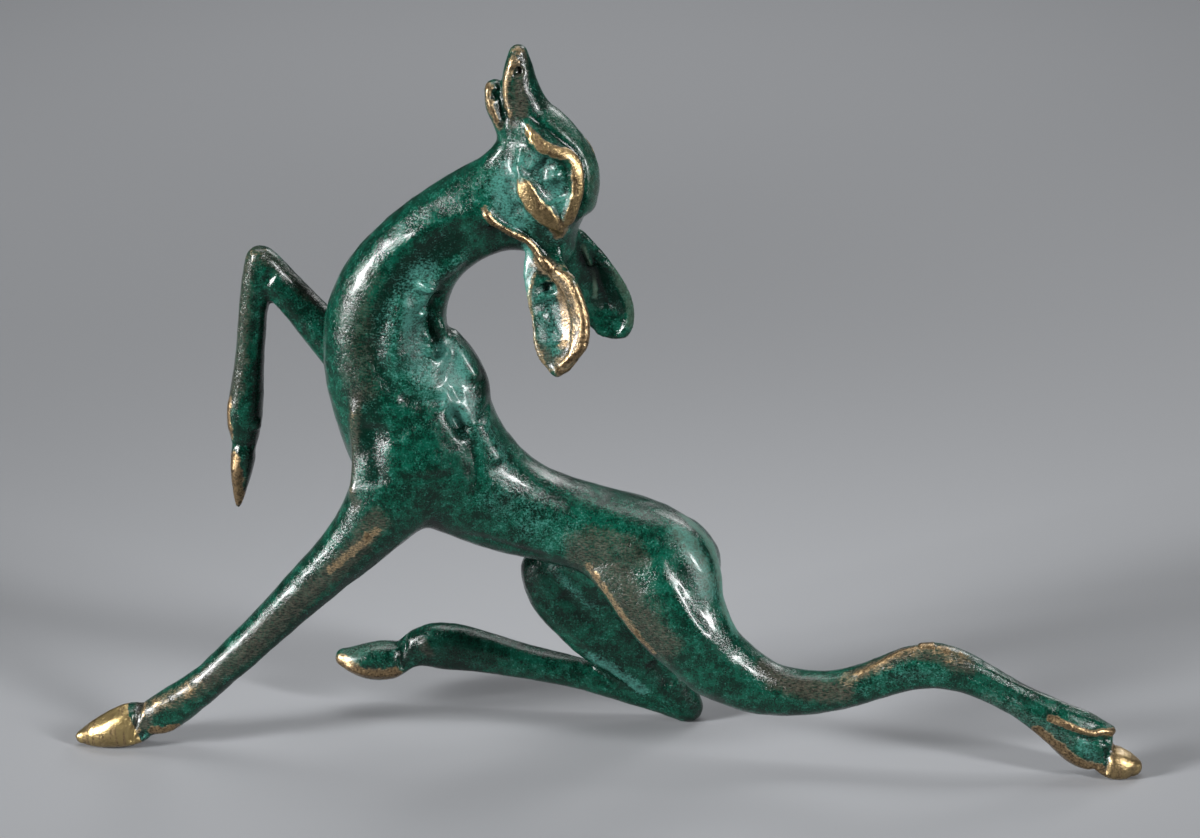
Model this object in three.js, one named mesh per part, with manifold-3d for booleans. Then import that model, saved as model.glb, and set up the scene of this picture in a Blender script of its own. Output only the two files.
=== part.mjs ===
// A slender bronze fawn, cast in one. It stands on three points: the left fore hoof, the left hind hoof
// and the folded right hock. Millimetres, +Z up, the head end towards -X, the left side towards -Y.
// The origin lies on the ground in the middle of the figure.
import * as THREE from 'three';
import { LoftGeometry } from 'three/addons/geometries/LoftGeometry.js';
import { mergeVertices } from 'three/addons/utils/BufferGeometryUtils.js';
import Module from 'manifold-3d';

const wasm = await Module();
wasm.setup();

// Driving dimensions
const headYaw = 22; // degrees that the face is turned towards the left side
const squareness = 2.3; // exponent of a limb's section, 2 is an ellipse
const hoofSquareness = 3;
const earWall = 0.9;
const earRimProud = 0.25; // how far the rim of an ear stands over its cup
const eyeballRadius = 1.05;
const eyeballFlatness = 0.6;
const nostrilRadius = 0.5;
const slabSize = 200;
const slabDepth = 20;
const weldDistance = 1e-4;

const yaw = THREE.MathUtils.degToRad(headYaw);
const acrossBody = new THREE.Vector3(0, 1, 0);
const acrossHead = new THREE.Vector3(Math.sin(yaw), Math.cos(yaw), 0);
const bodyMiddle = new THREE.Vector3(0, -1, 0);
const headMiddle = new THREE.Vector3(-6.9, -1.5, 66.8);

// Every station of a limb is [x, y, z, half thickness, half depth]. The thickness is measured in the
// plane of the limb's curve and the depth along its side direction.

// From the poll down the neck, along the back and over the left haunch
const trunkLine = [
  [-7.2, -1.5, 65.6, 5.8, 3.8],
  [-10.2, -1.5, 65.6, 5.9, 4.1],
  [-13.3, -1.5, 64.7, 5.4, 4.2],
  [-16.5, -1.4, 63.0, 5.2, 4.3],
  [-20.3, -1.3, 60.0, 5.4, 4.6],
  [-23.1, -1.2, 56.1, 6.3, 5.0],
  [-24.7, -1.0, 51.5, 7.1, 5.4],
  [-24.3, -1.0, 46.5, 7.7, 6.0],
  [-22.5, -1.0, 41.4, 8.5, 6.5],
  [-19.8, -1.0, 36.6, 8.9, 6.7],
  [-15.3, -1.0, 32.4, 7.1, 6.2],
  [-10.4, -1.0, 29.4, 5.8, 5.4],
  [-5.5, -1.0, 27.7, 5.1, 5.2],
  [-0.5, -1.1, 26.2, 5.1, 5.7],
  [4.1, -1.8, 24.7, 5.7, 6.2],
  [7.1, -3.6, 22.2, 6.5, 5.7],
  [8.2, -5.2, 18.5, 5.8, 5.0],
  [10.5, -6.2, 14.9, 4.9, 4.4],
  [13.0, -6.6, 12.0, 4.1, 3.8],
];
const nearThighLine = [
  [-1.6, -3.6, 24.6, 2.6, 2.4],
  [0.9, -4.6, 23.2, 3.0, 2.8],
  [2.6, -5.4, 21.2, 3.1, 3.1],
  [4.6, -6.0, 18.6, 3.3, 3.3],
  [7.0, -6.4, 16.0, 3.2, 3.4],
  [9.4, -6.6, 13.6, 2.8, 3.4],
];
const nearHindLine = [
  [10.2, -6.2, 15.4, 4.8, 4.2],
  [13.0, -6.6, 12.0, 4.3, 3.9],
  [16.5, -7.0, 10.0, 3.7, 3.4],
  [19.3, -7.3, 9.1, 3.1, 2.9],
  [22.5, -7.6, 8.8, 2.7, 2.6],
  [26.4, -8.0, 9.2, 2.3, 2.3],
  [30.6, -8.3, 10.6, 2.3, 2.2],
  [34.3, -8.6, 12.2, 2.6, 2.2],
  [37.7, -8.8, 12.9, 2.8, 2.2],
  [40.8, -9.2, 12.2, 2.5, 2.1],
  [44.0, -9.5, 10.7, 2.0, 1.9],
  [48.2, -9.9, 8.4, 2.0, 1.8],
  [51.9, -10.2, 6.2, 2.6, 2.0],
  [54.2, -10.4, 4.6, 3.2, 2.3],
  [55.7, -10.6, 3.5, 3.1, 2.3],
];
const nearForeLine = [
  [-19.7, -4.0, 44.0, 2.9, 2.0],
  [-20.4, -4.5, 40.2, 5.6, 3.0],
  [-22.2, -4.9, 35.9, 6.4, 3.6],
  [-24.3, -5.0, 31.4, 5.2, 3.6],
  [-27.6, -4.8, 27.0, 3.8, 3.2],
  [-31.8, -4.2, 22.7, 3.0, 2.8],
  [-36.3, -3.6, 18.0, 2.6, 2.5],
  [-40.9, -3.0, 13.2, 2.3, 2.2],
  [-45.5, -2.4, 8.5, 2.1, 2.1],
  [-49.2, -2.0, 5.5, 2.4, 2.3],
  [-51.3, -1.9, 4.1, 2.5, 2.2],
  [-53.0, -1.9, 3.4, 2.1, 2.0],
  [-54.6, -1.8, 2.9, 1.8, 1.9],
];
const nearForeHoofLine = [
  [-54.7, -1.8, 2.7, 2.5, 2.3],
  [-56.3, -1.8, 2.3, 2.4, 2.6],
  [-58.4, -1.8, 1.7, 1.9, 2.3],
  [-60.1, -1.8, 1.2, 1.3, 1.5],
  [-61.0, -1.8, 1.0, 0.8, 0.8],
];
const farUpperForeLine = [
  [-25.1, 2.0, 41.1, 4.0, 3.0],
  [-29.7, 4.0, 45.9, 2.9, 2.6],
  [-34.2, 5.0, 50.9, 2.3, 2.2],
  [-37.0, 5.0, 54.1, 2.2, 2.1],
  [-39.0, 5.0, 56.9, 1.8, 1.9],
];
const farLowerForeLine = [
  [-39.4, 5.0, 57.0, 1.7, 1.9],
  [-39.9, 5.0, 53.5, 1.8, 1.8],
  [-40.3, 5.0, 49.7, 1.7, 1.7],
  [-40.7, 5.0, 45.6, 1.75, 1.7],
  [-41.1, 5.0, 42.0, 2.0, 1.9],
  [-41.5, 5.0, 39.1, 2.2, 2.1],
  [-41.6, 5.0, 36.8, 2.0, 2.0],
  [-41.6, 5.0, 34.8, 1.5, 1.6],
];
const farForeHoofLine = [
  [-41.7, 5.0, 34.9, 1.3, 1.4],
  [-41.9, 5.0, 33.0, 1.5, 1.7],
  [-42.2, 5.0, 31.1, 1.3, 1.5],
  [-42.4, 5.0, 29.2, 0.9, 0.9],
  [-42.6, 5.0, 27.4, 0.4, 0.4],
];
const dewclawLine = [
  [52.4, -10.4, 7.4, 1.3, 1.9],
  [55.6, -10.6, 6.3, 1.1, 1.7],
  [57.9, -10.7, 5.5, 0.6, 1.0],
];
const nearHindPasternLine = [
  [54.2, -10.6, 3.8, 2.0, 2.0],
  [56.4, -10.7, 2.7, 1.8, 1.8],
  [58.1, -10.8, 2.0, 1.6, 1.9],
];
const nearHindHoofLine = [
  [57.5, -10.8, 1.8, 1.7, 2.1],
  [58.8, -10.8, 1.5, 1.8, 2.3],
  [59.9, -10.8, 1.3, 1.5, 2.0],
  [60.6, -10.8, 1.1, 1.1, 1.4],
];
const farThighLine = [
  [10.8, -0.6, 21.6, 4.4, 2.8],
  [7.6, 1.4, 22.4, 5.6, 3.4],
  [3.6, 3.2, 21.6, 5.6, 3.7],
  [-1.0, 4.6, 20.2, 5.0, 3.5],
  [-5.0, 5.6, 18.9, 3.9, 2.9],
];
const farShinLine = [
  [-6.4, 5.6, 19.8, 4.0, 2.9],
  [-4.8, 5.7, 17.2, 5.0, 3.2],
  [-1.0, 5.8, 14.2, 5.9, 3.3],
  [2.2, 5.9, 11.1, 5.7, 3.1],
  [5.4, 6.0, 7.3, 4.2, 2.7],
  [8.0, 6.0, 3.9, 3.0, 2.3],
  [9.6, 6.0, 1.9, 2.2, 2.1],
];
const farCannonLine = [
  [9.9, 6.0, 1.6, 1.9, 1.9],
  [6.0, 6.3, 2.9, 1.9, 1.9],
  [1.6, 6.8, 4.2, 2.0, 1.9],
  [-2.9, 7.4, 5.3, 1.9, 1.8],
  [-7.6, 8.0, 6.1, 2.0, 1.9],
  [-12.4, 8.6, 7.0, 2.4, 2.0],
  [-16.9, 9.2, 7.9, 3.0, 2.2],
  [-20.0, 9.6, 8.0, 3.1, 2.2],
  [-22.2, 9.9, 7.6, 2.4, 2.0],
  [-23.7, 10.0, 6.8, 1.8, 1.8],
];
const farHindHoofLine = [
  [-23.7, 10.0, 6.4, 1.7, 1.8],
  [-25.4, 10.1, 5.9, 2.4, 2.4],
  [-27.5, 10.2, 5.7, 2.5, 2.6],
  [-29.6, 10.3, 5.8, 1.9, 2.2],
  [-31.0, 10.4, 6.1, 1.2, 1.4],
];
const withersLine = [
  [-18.4, -1.0, 49.4, 1.4, 2.4],
  [-17.0, -1.0, 47.2, 2.2, 3.2],
  [-15.8, -1.0, 45.0, 2.4, 3.6],
  [-14.9, -1.0, 43.0, 2.2, 3.6],
  [-14.3, -1.0, 41.0, 1.4, 3.0],
];
const headLine = [
  [-5.6, -1.5, 60.0, 2.4, 2.8],
  [-6.2, -1.5, 61.7, 3.6, 3.7],
  [-6.8, -1.5, 64.0, 5.6, 4.5],
  [-6.7, -1.5, 66.8, 6.3, 4.9],
  [-6.5, -1.5, 69.3, 6.1, 4.9],
  [-6.8, -1.5, 71.4, 5.1, 4.5],
  [-7.5, -1.5, 73.3, 4.1, 3.9],
  [-8.5, -1.5, 75.2, 2.9, 3.2],
  [-9.1, -1.5, 77.0, 2.4, 2.6],
  [-9.4, -1.5, 78.8, 2.0, 2.2],
  [-9.5, -1.5, 80.7, 1.6, 1.8],
  [-9.5, -1.5, 82.3, 1.1, 1.3],
];
const jawLine = [
  [-9.6, -1.5, 71.2, 2.0, 3.0],
  [-10.9, -1.5, 74.2, 1.0, 2.3],
  [-11.9, -1.5, 76.4, 1.1, 2.0],
  [-12.2, -1.5, 78.4, 1.0, 1.6],
];
const throatLine = [
  [-13.9, -1.5, 66.6, 2.6, 2.6],
  [-11.8, -1.5, 69.2, 2.4, 2.8],
  [-10.2, -1.5, 71.6, 1.8, 2.6],
];
const pollLine = [
  [-5.6, -1.5, 62.2, 2.6, 3.6],
  [-4.9, -1.5, 60.2, 2.0, 2.8],
];

// The bronze rims round the left eye and the edge of the left cheek, on the skin of the head
const upperRimLine = [
  [-8.6, -4.7, 74.9, 0.35, 0.35],
  [-8.1, -5.2, 73.4, 0.5, 0.45],
  [-7.0, -5.7, 72.4, 0.5, 0.45],
  [-5.4, -5.9, 72.1, 0.5, 0.45],
  [-4.1, -5.8, 71.5, 0.5, 0.45],
  [-3.2, -5.7, 70.2, 0.5, 0.45],
  [-3.1, -5.9, 68.4, 0.5, 0.45],
  [-3.5, -6.0, 66.2, 0.5, 0.45],
  [-4.5, -5.5, 63.8, 0.45, 0.4],
];
const lowerRimLine = [
  [-9.2, -5.4, 69.9, 0.35, 0.4],
  [-8.8, -5.8, 68.1, 0.7, 0.5],
  [-7.9, -6.1, 66.5, 0.9, 0.5],
  [-6.5, -6.2, 64.9, 0.8, 0.5],
  [-4.8, -5.6, 63.6, 0.4, 0.4],
];
const cheekLine = [
  [-13.2, -5.5, 65.6, 0.35, 0.4],
  [-12.6, -5.6, 64.5, 0.45, 0.45],
  [-11.5, -5.5, 63.5, 0.45, 0.45],
  [-9.9, -5.3, 62.8, 0.45, 0.45],
  [-8.3, -5.0, 61.7, 0.5, 0.5],
  [-7.4, -5.0, 60.4, 0.6, 0.6],
  [-6.6, -5.6, 59.2, 0.7, 0.6],
];
const browLine = [
  [-9.0, -4.2, 76.8],
  [-7.4, -4.6, 75.7],
  [-5.8, -4.9, 74.8],
  [-4.4, -5.1, 73.5],
  [-3.2, -5.1, 72.0],
];
const eyeCentre = [-5.8, -6.0, 69.4];
const nostrilPlace = [-9.7, -3.2, 80.6];

// The lumps of the mane, down the left face of the nape
const maneStart = [-20.0, -5.1, 57.0];
const maneBend = [-20.3, -4.9, 53.6];
const maneEnd = [-18.5, -3.6, 49.8];
const maneCount = 5;
const maneSize = [0.85, 0.8, 0.75];

// An ear's stations are [x, y, z, half width, depth of its back, share of that depth that is hollow]
const nearEarLine = [
  [-6.8, -4.0, 61.4, 2.0, 1.6, 0],
  [-6.8, -5.3, 58.9, 2.7, 1.7, 0.4],
  [-6.0, -6.5, 56.3, 3.1, 2.0, 1],
  [-5.1, -7.3, 53.5, 3.3, 2.1, 1],
  [-5.0, -7.8, 51.0, 3.2, 1.8, 0.9],
  [-5.1, -8.1, 49.0, 2.4, 1.3, 0.5],
  [-5.1, -8.3, 47.5, 1.1, 0.8, 0],
];
const farEarLine = [
  [-4.0, 1.0, 61.2, 1.6, 1.5, 0],
  [-2.4, 2.0, 57.8, 2.4, 1.8, 0.7],
  [-0.9, 3.0, 54.4, 3.1, 2.1, 1],
  [0.3, 3.8, 51.2, 3.2, 2.0, 0.9],
  [0.8, 4.2, 49.3, 2.7, 1.5, 0.5],
  [0.9, 4.4, 47.9, 1.7, 1.0, 0],
];
const nearEarOpening = new THREE.Vector3(-0.25, -1, 0.1);
const farEarOpening = new THREE.Vector3(-0.1, -1, 0.1);

// Grooves and hollows are lines on the skin of the left side, mirrored to the right
const neckHollow = [
  [-12.5, -5.7, 61.8],
  [-16.5, -5.8, 59.2],
  [-20.3, -5.9, 55.5],
  [-22.3, -6.2, 50.5],
  [-21.4, -6.6, 46.4],
];
const scapulaLine = [
  [-26.1, -6.7, 51.0, 0.3, 0.3],
  [-25.0, -7.0, 48.3, 0.5, 0.5],
  [-23.4, -7.4, 45.4, 0.5, 0.5],
  [-20.7, -7.4, 43.9, 0.5, 0.5],
  [-18.0, -6.9, 43.0, 0.6, 0.6],
  [-16.3, -6.9, 40.8, 0.6, 0.6],
  [-14.9, -7.0, 37.7, 0.5, 0.5],
  [-14.4, -7.2, 34.4, 0.3, 0.3],
];
const thighHollow = [
  [9.6, -8.8, 24.5],
  [10.6, -9.4, 21.5],
  [11.4, -9.9, 18.5],
];

// One skin whose neighbouring faces share their corners
function welded(geometry) {
  const bare = new THREE.BufferGeometry();
  bare.setAttribute('position', geometry.attributes.position);
  bare.setIndex(geometry.index);
  const merged = mergeVertices(bare, weldDistance);
  const index = merged.index.array;
  const kept = [];
  for (let i = 0; i < index.length; i += 3) {
    const [a, b, c] = [index[i], index[i + 1], index[i + 2]];
    if (a !== b && b !== c && c !== a) kept.push(a, b, c);
  }
  merged.setIndex(kept);
  return merged;
}

function toSolid(geometry) {
  return new wasm.Manifold(new wasm.Mesh({
    numProp: 3,
    vertProperties: new Float32Array(geometry.attributes.position.array),
    triVerts: new Uint32Array(geometry.index.array),
  }));
}

// The centre, direction and sizes of a limb at even steps between its stations
function along(rows, perSpan) {
  const places = rows.map(([x, y, z]) => new THREE.Vector3(x, y, z));
  const sizes = rows.map((row) => new THREE.Vector3(row[3], row[4], row[5] ?? 0));
  const middle = new THREE.CatmullRomCurve3(places, false, 'centripetal');
  const size = new THREE.CatmullRomCurve3(sizes, false, 'catmullrom', 0.5);
  const count = (rows.length - 1) * perSpan;
  return Array.from({ length: count + 1 }, (_, i) => ({
    centre: middle.getPoint(i / count),
    tangent: middle.getTangent(i / count),
    size: size.getPoint(i / count),
  }));
}

// The two directions of a section: sideways, and across the limb in the plane of its curve
function sectionAxes(tangent, side) {
  const deep = side.clone().addScaledVector(tangent, -side.dot(tangent)).normalize();
  return { deep, thick: new THREE.Vector3().crossVectors(deep, tangent).normalize() };
}

function flattened(value, power) {
  return Math.sign(value) * Math.abs(value) ** (2 / power);
}

// A limb is a skin over its stations, rounded off at both ends
function limb(rows, { side = acrossBody, sides = 10, perSpan = 2, power = squareness } = {}) {
  const stops = along(rows, perSpan);
  const ring = ({ centre, tangent, size }, shrink, shift) => {
    const { deep, thick } = sectionAxes(tangent, side);
    const middle = centre.clone().addScaledVector(tangent, shift);
    return Array.from({ length: sides }, (_, j) => {
      const angle = (j / sides) * 2 * Math.PI;
      return middle.clone()
        .addScaledVector(thick, flattened(Math.cos(angle), power) * size.x * shrink)
        .addScaledVector(deep, flattened(Math.sin(angle), power) * size.y * shrink);
    });
  };
  const roundAngles = [35, 70].map(THREE.MathUtils.degToRad);
  const cap = (stop, direction) => {
    const reach = Math.min(stop.size.x, stop.size.y) * direction;
    return roundAngles.map((angle) => ring(stop, Math.cos(angle), reach * Math.sin(angle)));
  };
  const first = cap(stops[0], -1).reverse();
  const last = cap(stops[stops.length - 1], 1);
  const rings = [...first, ...stops.map((stop) => ring(stop, 1, 0)), ...last];
  return welded(new LoftGeometry(rings, { capStart: true, capEnd: true }));
}

// Presses the skin in along a line of points, falling away smoothly to both sides
function press(geometry, line, radius, depth) {
  const path = line.map((place) => new THREE.Vector3(...place));
  const spans = path.slice(1).map((end, i) => new THREE.Line3(path[i], end));
  geometry.computeVertexNormals();
  const { position, normal } = geometry.attributes;
  const point = new THREE.Vector3();
  const outward = new THREE.Vector3();
  const nearest = new THREE.Vector3();
  for (let i = 0; i < position.count; i += 1) {
    point.fromBufferAttribute(position, i);
    outward.fromBufferAttribute(normal, i);
    const gaps = spans.map((span) => span.closestPointToPoint(point, true, nearest).distanceTo(point));
    point.addScaledVector(outward, -depth * Math.exp(-((Math.min(...gaps) / radius) ** 2)));
    position.setXYZ(i, point.x, point.y, point.z);
  }
  return geometry;
}

// The same place on the other side of a plane through `middle` that faces `side`
function mirrored(place, middle, side) {
  const point = new THREE.Vector3(...place);
  const distance = point.clone().sub(middle).dot(side);
  return point.addScaledVector(side, -2 * distance).toArray();
}

function mirroredRows(rows, middle, side) {
  return rows.map(([x, y, z, ...sizes]) => [...mirrored([x, y, z], middle, side), ...sizes]);
}

// An ear is a leaf with a cup in the face that looks towards `opening`
function ear(rows, opening, { perSpan = 2, steps = 7 } = {}) {
  const rings = along(rows, perSpan).map(({ centre, tangent, size }) => {
    const { deep, thick } = sectionAxes(tangent, opening);
    const place = (across, inward) => centre.clone()
      .addScaledVector(thick, across)
      .addScaledVector(deep, inward);
    const back = Array.from({ length: steps + 1 }, (_, j) => {
      const angle = (j / steps) * Math.PI;
      return place(Math.cos(angle) * size.x, -Math.sin(angle) * size.y);
    });
    const rimWidth = Math.min(earWall, size.x * 0.45);
    const cup = Array.from({ length: steps - 1 }, (_, j) => {
      const angle = ((steps - 1 - j) / steps) * Math.PI;
      const dip = Math.sin(angle) * Math.max(size.y - earWall, 0.1) * size.z;
      return place(Math.cos(angle) * (size.x - rimWidth), earRimProud - dip);
    });
    return [...back, ...cup].reverse();
  });
  return welded(new LoftGeometry(rings, { capStart: true, capEnd: true }));
}

function lump(place, radii) {
  const shape = new THREE.SphereGeometry(1, 8, 5);
  shape.scale(...radii);
  shape.translate(...place);
  return welded(shape);
}

function trunk() {
  const skin = limb(trunkLine, { sides: 16 });
  press(skin, neckHollow, 2.2, 0.8);
  press(skin, mirroredRows(neckHollow, bodyMiddle, acrossBody), 2.2, 0.8);
  return press(skin, thighHollow, 1.6, 0.5);
}

function head() {
  const skin = limb(headLine, { side: acrossHead, sides: 16 });
  const farEye = mirrored(eyeCentre, headMiddle, acrossHead);
  press(skin, browLine, 0.9, 0.35);
  press(skin, mirroredRows(browLine, headMiddle, acrossHead), 0.9, 0.35);
  press(skin, [eyeCentre, eyeCentre], 2.2, 0.7);
  return press(skin, [farEye, farEye], 2.2, 0.7);
}

function face() {
  const rims = [upperRimLine, lowerRimLine];
  const farRims = rims.map((rows) => mirroredRows(rows, headMiddle, acrossHead));
  const ridges = [...rims, cheekLine, ...farRims];
  const eyes = [eyeCentre, mirrored(eyeCentre, headMiddle, acrossHead)];
  const ball = [eyeballRadius, eyeballRadius * eyeballFlatness, eyeballRadius];
  return [
    ...ridges.map((rows) => limb(rows, { side: acrossHead, sides: 5, perSpan: 1, power: 2 })),
    ...eyes.map((place) => lump(place, ball)),
  ];
}

function mane() {
  const route = new THREE.QuadraticBezierCurve3(
    new THREE.Vector3(...maneStart), new THREE.Vector3(...maneBend), new THREE.Vector3(...maneEnd));
  const left = route.getSpacedPoints(maneCount - 1).map((point) => point.toArray());
  const right = left.map((place) => mirrored(place, bodyMiddle, acrossBody));
  return [...left, ...right].map((place) => lump(place, maneSize));
}

function forelegs() {
  return [
    limb(nearForeLine, { perSpan: 1 }),
    limb(nearForeHoofLine, { perSpan: 1, power: hoofSquareness }),
    limb(farUpperForeLine),
    limb(farLowerForeLine, { perSpan: 1 }),
    limb(farForeHoofLine, { perSpan: 1 }),
  ];
}

function hindLegs() {
  return [
    limb(nearThighLine, { perSpan: 1 }),
    limb(nearHindLine, { sides: 12, perSpan: 1 }),
    limb(dewclawLine, { sides: 8, perSpan: 1 }),
    limb(nearHindPasternLine, { perSpan: 1 }),
    limb(nearHindHoofLine, { perSpan: 1, power: hoofSquareness }),
    limb(farThighLine),
    limb(farShinLine),
    limb(farCannonLine, { perSpan: 1 }),
    limb(farHindHoofLine, { perSpan: 1 }),
  ];
}

const pieces = [
  trunk(),
  head(),
  limb(jawLine, { side: acrossHead }),
  limb(throatLine, { side: acrossHead }),
  limb(pollLine, { side: acrossHead }),
  ...face(),
  ear(nearEarLine, nearEarOpening),
  ear(farEarLine, farEarOpening),
  ...mane(),
  limb(withersLine, { power: 2 }),
  ...forelegs(),
  ...hindLegs(),
];

// The ground files the feet flat, and the nostrils are pits
const ground = welded(new THREE.BoxGeometry(slabSize, slabSize, slabDepth));
ground.translate(0, 0, -slabDepth / 2);
const pit = [nostrilRadius, nostrilRadius, nostrilRadius];
const cuts = [
  ground,
  ...[scapulaLine, mirroredRows(scapulaLine, bodyMiddle, acrossBody)]
    .map((rows) => limb(rows, { sides: 5, perSpan: 1, power: 2 })),
  lump(nostrilPlace, pit),
  lump(mirrored(nostrilPlace, headMiddle, acrossHead), pit),
];

const joined = pieces.map(toSolid).reduce((whole, piece) => whole.add(piece));
const figure = cuts.map(toSolid).reduce((whole, cut) => whole.subtract(cut), joined);

const cast = figure.getMesh();
const surface = new THREE.BufferGeometry();
surface.setAttribute('position', new THREE.BufferAttribute(new Float32Array(cast.vertProperties), 3));
surface.setIndex(new THREE.BufferAttribute(new Uint32Array(cast.triVerts), 1));
surface.computeVertexNormals();

const patina = new THREE.MeshStandardMaterial({ color: 0x1f4a3d, roughness: 0.35, metalness: 0.6 });
const fawn = new THREE.Mesh(surface, patina);
fawn.name = 'fawn';

const group = new THREE.Group();
group.add(fawn);

export default group;
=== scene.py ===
import math

import bmesh
import bpy
import numpy as np
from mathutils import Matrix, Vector, noise
from mathutils.bvhtree import BVHTree


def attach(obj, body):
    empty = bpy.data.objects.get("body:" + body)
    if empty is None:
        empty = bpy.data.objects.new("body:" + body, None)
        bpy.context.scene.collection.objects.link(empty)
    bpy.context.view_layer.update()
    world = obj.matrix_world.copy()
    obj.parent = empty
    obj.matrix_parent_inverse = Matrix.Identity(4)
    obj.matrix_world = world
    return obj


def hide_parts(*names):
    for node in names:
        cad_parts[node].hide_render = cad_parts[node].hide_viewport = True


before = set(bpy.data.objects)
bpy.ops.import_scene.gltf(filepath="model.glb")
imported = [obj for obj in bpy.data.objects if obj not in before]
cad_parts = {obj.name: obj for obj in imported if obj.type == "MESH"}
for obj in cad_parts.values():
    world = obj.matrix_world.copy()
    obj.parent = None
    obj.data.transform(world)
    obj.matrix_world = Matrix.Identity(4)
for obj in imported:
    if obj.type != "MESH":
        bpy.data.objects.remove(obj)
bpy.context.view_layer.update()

# A patinated bronze fawn. The solid of the casting is remeshed finely, carved stroke by stroke, painted
# with wear and with painted shade, and stands in for the plain solid. Strokes are in millimetres in the
# frame of the part.

mm = 0.001


# Camera, floor and lights

shot = {
    "aim": (-0.0005, -0.003, 0.0404),
    "distance": 0.425,
    "azimuth": 0,
    "elevation": 18,
    "lens": 112.5,
    "sensorWidth": 36,
    "seenFrom": 0.01,
    "seenTo": 50,
}

studio = {
    "floorSize": 4,
    "floorColour": (0.155, 0.160, 0.168),
    "floorRoughness": 0.85,
    "skyColour": (0.55, 0.58, 0.62),
    "skyStrength": 0.10,
    # azimuth from the front (right is positive), elevation, distance, width, height, watts,
    # and how many degrees its light fans out
    "leftBox": (-64, 18, 0.60, 0.13, 0.42, 0.76, 27),
    "rightBox": (54, 24, 0.65, 0.09, 0.28, 0.26, 26),
    "farBox": (150, 30, 0.65, 0.20, 0.30, 0.06, 26),
    # a lamp over the floor behind the fawn, pointing straight down
    "backLamp": {"location": (0, 0.36, 0.60), "size": 0.50, "watts": 1.7, "fan": 76},
}


def around(azimuth, elevation, distance):
    a = math.radians(azimuth)
    e = math.radians(elevation)
    direction = Vector((math.sin(a) * math.cos(e), -math.cos(a) * math.cos(e), math.sin(e)))
    return Vector(shot["aim"]) + direction * distance, direction


def makeCamera():
    camera = bpy.data.objects.new("camera", bpy.data.cameras.new("camera"))
    bpy.context.scene.collection.objects.link(camera)
    camera.location, direction = around(shot["azimuth"], shot["elevation"], shot["distance"])
    camera.rotation_euler = (-direction).to_track_quat("-Z", "Y").to_euler()
    camera.data.lens = shot["lens"]
    camera.data.sensor_width = shot["sensorWidth"]
    camera.data.clip_start = shot["seenFrom"]
    camera.data.clip_end = shot["seenTo"]
    bpy.context.scene.camera = camera


def makeSoftBox(name, azimuth, elevation, distance, width, height, watts, fan):
    lamp = bpy.data.lights.new(name, "AREA")
    lamp.shape = "RECTANGLE"
    lamp.size = width
    lamp.size_y = height
    lamp.energy = watts
    lamp.spread = math.radians(fan)
    box = bpy.data.objects.new(name, lamp)
    bpy.context.scene.collection.objects.link(box)
    box.location, direction = around(azimuth, elevation, distance)
    box.rotation_euler = (-direction).to_track_quat("-Z", "Y").to_euler()


def makeBackLamp(location, size, watts, fan):
    lamp = bpy.data.lights.new("backLamp", "AREA")
    lamp.size = size
    lamp.energy = watts
    lamp.spread = math.radians(fan)
    box = bpy.data.objects.new("backLamp", lamp)
    bpy.context.scene.collection.objects.link(box)
    box.location = location


def makeFloor():
    bm = bmesh.new()
    bmesh.ops.create_grid(bm, x_segments=1, y_segments=1, size=studio["floorSize"] / 2)
    mesh = bpy.data.meshes.new("floor")
    bm.to_mesh(mesh)
    bm.free()
    floor = bpy.data.objects.new("floor", mesh)
    bpy.context.scene.collection.objects.link(floor)
    material = bpy.data.materials.new("paleFloor")
    material.use_nodes = True
    shader = material.node_tree.nodes["Principled BSDF"]
    shader.inputs["Base Color"].default_value = (*studio["floorColour"], 1)
    shader.inputs["Roughness"].default_value = studio["floorRoughness"]
    mesh.materials.append(material)


def makeSky():
    world = bpy.data.worlds.new("studio")
    world.use_nodes = True
    background = world.node_tree.nodes["Background"]
    background.inputs["Color"].default_value = (*studio["skyColour"], 1)
    background.inputs["Strength"].default_value = studio["skyStrength"]
    bpy.context.scene.world = world


makeCamera()
makeFloor()
makeSky()
makeSoftBox("leftBox", *studio["leftBox"])
makeSoftBox("rightBox", *studio["rightBox"])
makeSoftBox("farBox", *studio["farBox"])
makeBackLamp(**studio["backLamp"])
bpy.context.scene.view_settings.view_transform = "Standard"
print("studio ready")


# The clay: a fine copy of the casting that strokes can be carved into

clayChoices = {
    "weld": 0.001,  # corners of the solid that lie closer than this are one
    "roundness": 2,  # levels of subdivision that round the flat faces of the solid
    "grain": 0.21,  # size of the mesh faces while carving
    "firstRounds": 20,  # rounds of smoothing after the remesh
    "lastRounds": 2,  # and after the carving
    "sole": 0.03,  # skin lower than this is pressed flat on the ground
    "keptFaces": 186000,
    "waves": ((4.5, 0.10), (1.6, 0.045), (0.8, 0.02)),  # length and height of the hand-made unevenness
}


def smoothStep(low, high, value):
    share = np.clip((value - low) / (high - low), 0, 1)
    return share * share * (3 - 2 * share)


# A smooth path through the points of a stroke
def flowing(line, step=0.25):
    points = np.array(line, float).reshape(-1, 3)
    if len(points) < 3:
        return points
    ends = np.vstack([2 * points[0] - points[1], points, 2 * points[-1] - points[-2]])
    path = []
    for i in range(1, len(ends) - 2):
        before, start, end, after = ends[i - 1:i + 3]
        count = max(2, int(np.linalg.norm(end - start) / step))
        for t in np.arange(count) / count:
            bend = 2 * start + (end - before) * t
            bend = bend + (2 * before - 5 * start + 4 * end - after) * t ** 2
            bend = bend + (3 * start - before - 3 * end + after) * t ** 3
            path.append(bend / 2)
    path.append(points[-1])
    return np.array(path)


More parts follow.
